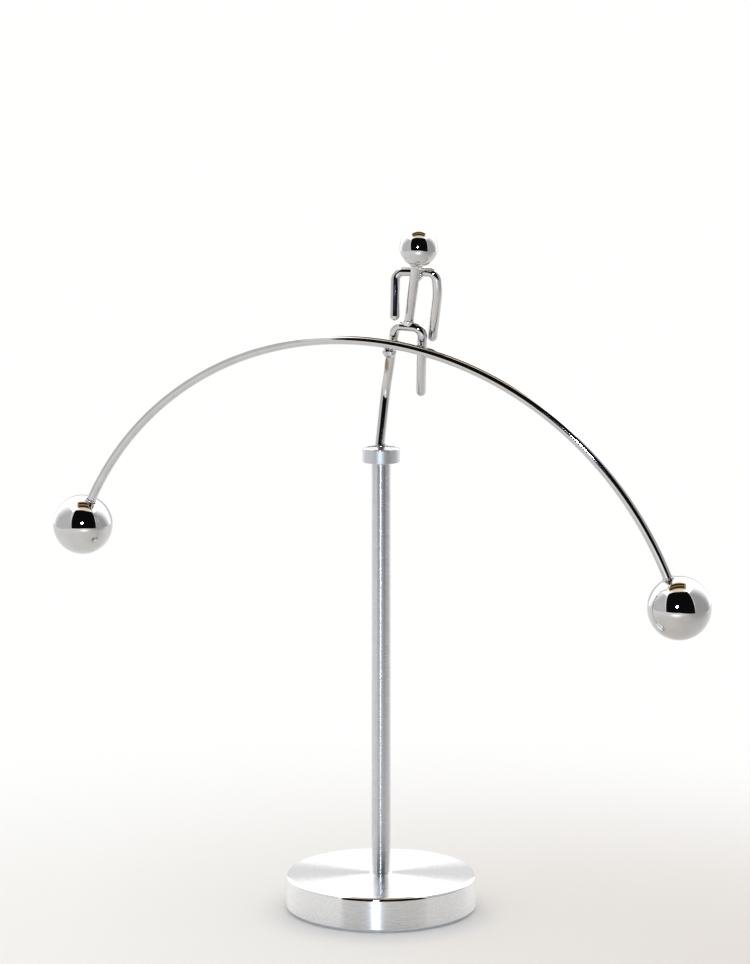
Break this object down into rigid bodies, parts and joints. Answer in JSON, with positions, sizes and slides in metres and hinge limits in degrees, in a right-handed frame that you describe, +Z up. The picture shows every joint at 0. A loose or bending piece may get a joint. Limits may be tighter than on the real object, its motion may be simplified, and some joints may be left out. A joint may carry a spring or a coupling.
{
  "type": "counterweight balancing toy",
  "caption": "Polished wire stick figure that balances on one toe in the dish of a slim post, held upright by balls hung low on a long arched bar, on a round turned base.",
  "frame": {"origin": "centre of the base's underside, on the post's axis", "axes": "+Z up along the post, +X along the bar to the figure's right hand as seen from the front, viewer's side at -Y"},
  "size_m": [0.2209, 0.06, 0.216],
  "materials": {
    "turned_base": "fine turned",
    "brushed_post": "brushed satin",
    "turned_cap": "satin turned",
    "screw_steel": "plain",
    "toe_steel": "dull polished",
    "chrome_wire": "polished",
    "polished_ball": "mirror polished",
    "weld_chrome": "plated weld bead"
  },
  "bodies": {
    "stand": {"base_disc": "turned_base", "base_screw": "screw_steel", "post": "brushed_post", "cap": "turned_cap"},
    "toe": {"toe_ball": "toe_steel"},
    "bead": {"toe_bead": "toe_steel"},
    "figure": {"legs_wire": "chrome_wire", "torso_wire": "chrome_wire", "arms_wire": "chrome_wire", "head_ball": "polished_ball", "neck_weld": "weld_chrome", "shoulder_weld": "weld_chrome", "hip_weld": "weld_chrome", "bar": "chrome_wire", "bar_weld": "weld_chrome", "ball_left": "polished_ball", "ball_right": "polished_ball", "ball_weld_left": "weld_chrome", "ball_weld_right": "weld_chrome"}
  },
  "joints": [
    {"name": "spin", "type": "hinge", "parent": "stand", "child": "toe", "pos_m": [0, 0, 0.147], "axis": [0, 0, 1], "continuous": true},
    {"name": "nod", "type": "hinge", "parent": "toe", "child": "bead", "pos_m": [0, 0, 0.147], "axis": [1, 0, 0], "range_deg": [-15, 15]},
    {"name": "rock", "type": "hinge", "parent": "bead", "child": "figure", "pos_m": [0, 0, 0.147], "axis": [0, 0.9936, 0.1132], "range_deg": [-25, 25]}
  ]
}
